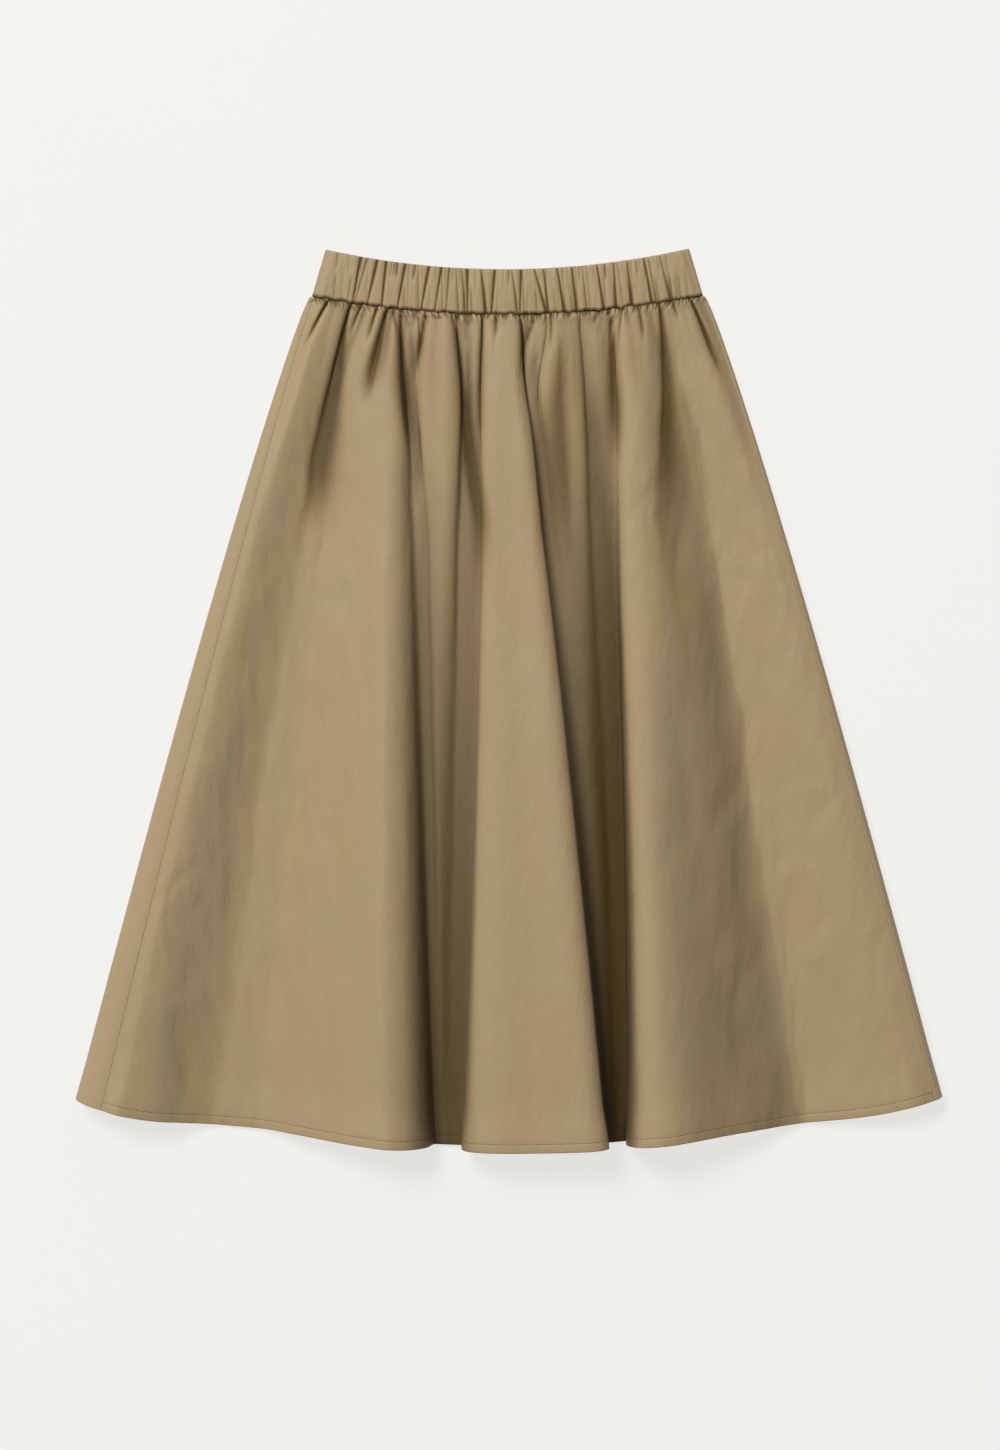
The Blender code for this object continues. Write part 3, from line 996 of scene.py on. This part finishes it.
# %% The ruches of the waistband
Ruche = namedtuple("Ruche", "top bottom depth reach", defaults=("all",))
FRONT_RUCHES = tuple(
    Ruche(*numbers)
    for numbers in (
        (-151, -154, 0.5, "bottom"), (-130, -137, 1.0), (-124, -135, 0.6), (-115, -124, 1.0),
        (-107, -111, 1.0), (-97, -100, 0.7, "top"), (-90, -97, 1.0), (-81, -86, 0.6, "top"),
        (-69, -76, 1.0), (-58, -64, 0.9), (-51, -54, 0.7), (-45, -43, 0.6), (-40, -37, 0.7),
        (-35, -35, 0.9), (-23, -19, 1.0), (-11, -14, 1.0), (4, 9, 0.7), (12, 11, 0.9),
        (24, 34, 1.0), (32, 36, 0.9), (44, 50, 1.0), (57, 61, 1.0), (66, 70, 0.6), (79, 85, 1.0),
        (86, 89, 0.6, "top"), (94, 96, 0.9), (106, 110, 0.9), (114, 118, 0.6, "top"),
        (121, 128, 1.0), (125, 132, 0.6), (135, 145, 0.7), (142, 146, 0.5, "bottom"),
        (150, 154, 0.5, "bottom"), (157, 161, 0.4, "bottom"),
    )
)
RUCHE_REACH = {"all": (-1.0, 2.0), "top": (-1.0, 0.45), "bottom": (0.60, 2.0)}
RUCHE_WIDTH = 1.0 * MM
RUCHE_FADE = 0.25
RUCHE_PUFF = 2.4 * MM
RUCHE_SHADE = 0.80
BACK_RUCHE_DEPTH = 1.1 * MM


def scattered(seed, end, nearest, farthest):
    """Uneven places along the band, in millimetres, each with the chance that draws them."""
    chance = random.Random(seed)
    place = -150.0
    while place < end:
        yield place, chance
        place += chance.uniform(nearest, farthest)


def back_ruches():
    """The back is ruched in the same way, unevenly, about every 9 mm."""
    for place, chance in scattered(4, 150.0, 4.0, 14.0):
        bottom = place + chance.uniform(-5.0, 6.0)
        yield Ruche(place, bottom, chance.uniform(0.5, 1.0))


def ruche_pillow(along, share, ruches):
    """What is left of a full puff between the ruches, at a place along and down the band."""
    left = 1.0
    for ruche in ruches:
        place = MM * (ruche.top + (ruche.bottom - ruche.top) * share)
        distance = abs(along - place)
        if distance < 8.0 * RUCHE_WIDTH:
            first, last = RUCHE_REACH[ruche.reach]
            fade = smooth_step(first - RUCHE_FADE, first, share)
            fade *= fall(last - RUCHE_FADE, last, share)
            taper = share if ruche.bottom > ruche.top else 1.0 - share
            width = RUCHE_WIDTH * (0.45 + 0.85 * taper)
            left *= 1.0 - ruche.depth * fade * math.exp(-distance / width)
    return left


def small_ruches():
    """Short, shallow ones between those that are listed one by one."""
    for place, chance in scattered(11, 152.0, 3.0, 8.0):
        turn = 0.03 * place + chance.uniform(-3.0, 3.0)
        depth = chance.uniform(0.2, 0.5)
        yield Ruche(place, place + turn, depth, chance.choice(("all", "top", "bottom")))


FRONT_RUCHES += tuple(small_ruches())
BACK_RUCHES = tuple(back_ruches())
print(len(FRONT_RUCHES), "ruches in front and", len(BACK_RUCHES), "behind")

# %% [markdown]
# Stations round the ring and stations round the section make one more grid, and merging its
# doubled edges closes it both ways. A spin would be shorter, but it couldn't give every place its
# own ruche.

# %% The band's ring and section
CASING = 0.0026
BAND_MIDDLE = 3.1 * MM
BAND_FOLD = 1.8 * MM
FRONT_COLUMNS = 540
BACK_COLUMNS = 300
END_COLUMNS = 8
OUTER_ROWS = 16
EDGE_ROWS = 5
INNER_ROWS = 5
CROWN = 0.5 * MM
STREAK = 0.35 * MM
SCALLOP = 0.9 * MM


def ring_stations():
    """(share of the straight, angle of the outward direction) all the way round the ring."""
    front = [(2.0 * step / FRONT_COLUMNS - 1.0, 90.0) for step in range(FRONT_COLUMNS + 1)]
    right = [(1.0, 90.0 - 180.0 * step / END_COLUMNS) for step in range(1, END_COLUMNS)]
    back = [(1.0 - 2.0 * step / BACK_COLUMNS, -90.0) for step in range(BACK_COLUMNS + 1)]
    left = [(-1.0, -90.0 - 180.0 * step / END_COLUMNS) for step in range(1, END_COLUMNS)]
    return front + right + back + left + front[:1]


def casing_stations():
    """(share of the height, out, beyond the edge) round the section: out is 1 on the outer face."""
    turns = [math.pi * step / EDGE_ROWS for step in range(1, EDGE_ROWS)]
    outer = [(1.0 - step / OUTER_ROWS, 1.0, 0.0) for step in range(OUTER_ROWS + 1)]
    bottom = [(0.0, math.cos(turn), -math.sin(turn)) for turn in turns]
    inner = [(step / INNER_ROWS, -1.0, 0.0) for step in range(INNER_ROWS + 1)]
    top = [(1.0, -math.cos(turn), math.sin(turn)) for turn in turns]
    return outer + bottom + inner + top + outer[:1]


def band_place(ring, casing):
    """The point of a place on the band, how creased it is and how open it lies."""
    straight, angle = ring
    share, out, beyond = casing
    angle = math.radians(angle)
    half = 0.5 * CASING
    height = BAND_HEIGHT + BAND_END_EXTRA * straight**2
    down = half + share * (height - 2.0 * half) + beyond * half
    radius = waist_radius(straight) + down
    reach = radius * edge_angle(0.0) - BAND_FOLD - half
    along = straight * reach
    front = math.sin(angle) > 0.999
    back = math.sin(angle) < -0.999
    at_end = smooth_step(0.0, 6.0 * MM, reach - abs(along))
    cut = 0.0
    lift = 0.0
    if out > 0.0 and (front or back):
        cut = (1.0 - ruche_pillow(along, share, FRONT_RUCHES if front else BACK_RUCHES)) * at_end
        if front:
            streak = STREAK * noise_at(along / (4.0 * MM), share * 1.6, 2.0)
            lift = RUCHE_PUFF * (0.75 - cut) + CROWN * math.sin(math.pi * share) + streak
            lift *= at_end * out
        else:
            lift = -BACK_RUCHE_DEPTH * cut * out
    radius += SCALLOP * cut * fall(0.0, 0.22, share)
    if front:
        radius += seam_wave(along) * smooth_step(1.0 - SEAM_WAVE_REACH / height, 1.0, share)
    outward = BAND_FOLD + out * half + lift
    sideways = along + math.cos(angle) * outward
    level = BAND_MIDDLE + math.sin(angle) * outward
    # Painted shade in the ruches' valleys and beside the waist seam.
    opened = 1.0 - RUCHE_SHADE * cut**2
    if out > 0.0:
        opened *= seam_shade((1.0 - share) * height)
    return on_fan(sideways / radius, radius, 1.0, level), cut, opened


def make_band():
    ring, casing = ring_stations(), casing_stations()
    columns, rows = len(ring) - 1, len(casing) - 1
    grid = [[band_place(here, there) for here in ring] for there in casing]
    slab, places = flat_grid(columns, rows, lambda column, row: grid[row][column][0])
    piece = add_object("waistband_leather", slab, (outside,))
    run = 0.0
    along = [0.0]
    for here, there in zip(grid[8], grid[8][1:]):
        run += (there[0] - here[0]).length
        along.append(run)
    down = [share * BAND_HEIGHT + 0.05 * out for share, out, _ in casing]
    values = [(along[column], down[row], *grid[row][column][1:]) for column, row in places]
    write_cloth_map(piece, values)
    shell = bmesh.new()
    shell.from_mesh(piece.data)
    bmesh.ops.remove_doubles(shell, verts=shell.verts[:], dist=0.005 * MM)
    bmesh.ops.recalc_face_normals(shell, faces=shell.faces[:])
    shell.to_mesh(piece.data)
    shell.free()
    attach(piece, "root")
    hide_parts("waistband_front", "waistband_back")
    print("waistband:", 2 * len(piece.data.polygons), "triangles,", round(run, 3), "m round")
    return piece


band_piece = make_band()

# %% [markdown]
# The hem is topstitched in a darker brown thread, about eight stitches to the inch, 7.5 mm above
# its edge. Each stitch is a small sphere of a few faces, drawn out lengthwise. They stand at an
# even pitch along the line that the panel's own vertices give.

# %% Hem stitches
STITCH_PITCH = 3.0 * MM
STITCH_LENGTH = 2.3 * MM
THREAD = 0.28 * MM
thread_finish = Finish("thread")
twist = thread_finish.noise(thread_finish.place(), 2500.0, 1.0)
brown = thread_finish.mix(twist, colour(0.065, 0.038, 0.016), colour(0.12, 0.074, 0.035))
thread = thread_finish.shade(Base_Color=brown, Roughness=0.6)


def stitch_track(points, flip):
    """The line of the stitches on a panel's outer face, as (point, outward) along the hem."""
    row = HEM_ROW_DISTANCES.index(7.5) - len(HEM_ROW_DISTANCES)
    above, line, below = points[row - 1], points[row], points[row + 1]
    track = []
    for index in range(1, len(line) - 1):
        outward = (line[index + 1] - line[index - 1]).cross(above[index] - below[index])
        outward.normalize()
        if flip:
            outward.negate()
        proud = LEATHER - THREAD if flip else LEATHER + 0.2 * THREAD
        track.append((line[index] + outward * proud, outward))
    return track


def walk(track, pitch):
    """Places at an even pitch along a track: point, forward, outward."""
    places = []
    left = 0.5 * pitch
    for (here, outward), (there, _) in zip(track, track[1:]):
        length = (there - here).length
        while left < length:
            places.append((here.lerp(there, left / length), (there - here).normalized(), outward))
            left += pitch
        left -= length
    return places


def make_stitches(name, points, flip):
    places = walk(stitch_track(points, flip), STITCH_PITCH)
    stitches = bmesh.new()
    for middle, forward, outward in places:
        side = outward.cross(forward).normalized()
        axes = (0.5 * STITCH_LENGTH * forward, THREAD * side, THREAD * forward.cross(side))
        shape = Matrix(axes).transposed().to_4x4()
        shape.translation = middle
        bmesh.ops.create_uvsphere(stitches, u_segments=6, v_segments=4, radius=1.0, matrix=shape)
    piece = add_object(name, stitches, (thread,))
    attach(piece, "root")
    print(name, "has", len(places), "stitches and", len(piece.data.polygons), "faces")
    return piece


front_stitches = make_stitches("front_hem_stitches", front_points, False)
back_stitches = make_stitches("back_hem_stitches", back_points, True)

# %% [markdown]
# The size that each sheet of leather was cut to comes from the model's own lengths: along the
# leather at the hem, down the middle, and at the seam before it was gathered.

def fan_area(top, bottom, length):
    return 0.5 * (top + bottom) * length


GATHERED_TOP = 0.48
front_hem = front_rows[-1][1][-1][1] - front_rows[-1][1][0][1]
back_hem = back_rows[-1][1][-1][1] - back_rows[-1][1][0][1]
print(f"hem along the leather: front {front_hem:.3f} m, back {back_hem:.3f} m")
fan_area(GATHERED_TOP, front_hem, PANEL_LENGTH)
fan_area(GATHERED_TOP, back_hem, PANEL_LENGTH)

# %% [markdown]
# The skirt lies on a plain, nearly white surface under very soft light. Most of it comes from all
# round, and a large soft lamp above the top left corner shades the folds. The surface glows a
# little of its own, as a lit table does, so the shadow stays faint and shows only below the hem.

# %% Floor and light
FLOOR_SIZE = 400.0
FLOOR_GLOW = 0.82
FLOOR_TONE = colour(0.895, 0.880, 0.862)
DOME = 0.24
LAMP_PLACE = Vector((-3.1, 4.5, 7.0))
LAMP_SIZE = 4.0
LAMP_POWER = 775.0

sheet = bmesh.new()
bmesh.ops.create_grid(sheet, x_segments=4, y_segments=4, size=0.5 * FLOOR_SIZE)
table = Finish("table_top")
grainy = table.noise(table.place(), 6.0, 2.0)
table_tone = table.mix(grainy, colour(0.160, 0.157, 0.154), colour(0.168, 0.165, 0.162))
table.shade(Base_Color=table_tone, Roughness=0.9, Specular_IOR_Level=0.0)
table.shade(Emission_Color=FLOOR_TONE, Emission_Strength=FLOOR_GLOW)
floor = add_object("table_top", sheet, (table.material,))

world = bpy.data.worlds.new("soft_studio")
world.use_nodes = True
dome = world.node_tree.nodes["Background"]
dome.inputs["Color"].default_value = colour(1.0, 1.0, 1.0)
dome.inputs["Strength"].default_value = DOME
bpy.context.scene.world = world

lamp = bpy.data.lights.new("softbox", "AREA")
lamp.shape = "DISK"
lamp.size = LAMP_SIZE
lamp.energy = LAMP_POWER
softbox = link_object("softbox", lamp)
softbox.location = LAMP_PLACE
softbox.rotation_euler = (-LAMP_PLACE).to_track_quat("-Z", "Y").to_euler()
bpy.context.scene.view_settings.view_transform = "Standard"
print("lit by a dome and one softbox")

# %% [markdown]
# The camera looks straight down, as on a garment laid out on a table. Its lens is long, so the
# flutes that stand up hardly lean outwards in the picture.

# %% Camera
CAMERA_HEIGHT = 2.4
CAMERA_LENS = 67.6
CAMERA_PLACE = (-0.0075, -0.0245, CAMERA_HEIGHT)
CAMERA_ROLL = math.radians(-0.15)
CAMERA_RANGE = 600.0
view = bpy.data.cameras.new("camera")
view.lens = CAMERA_LENS
view.clip_end = CAMERA_RANGE
camera = link_object("camera", view)
camera.location = CAMERA_PLACE
camera.rotation_euler = (0.0, 0.0, CAMERA_ROLL)
bpy.context.scene.camera = camera
print("the camera looks straight down from", CAMERA_HEIGHT, "m")
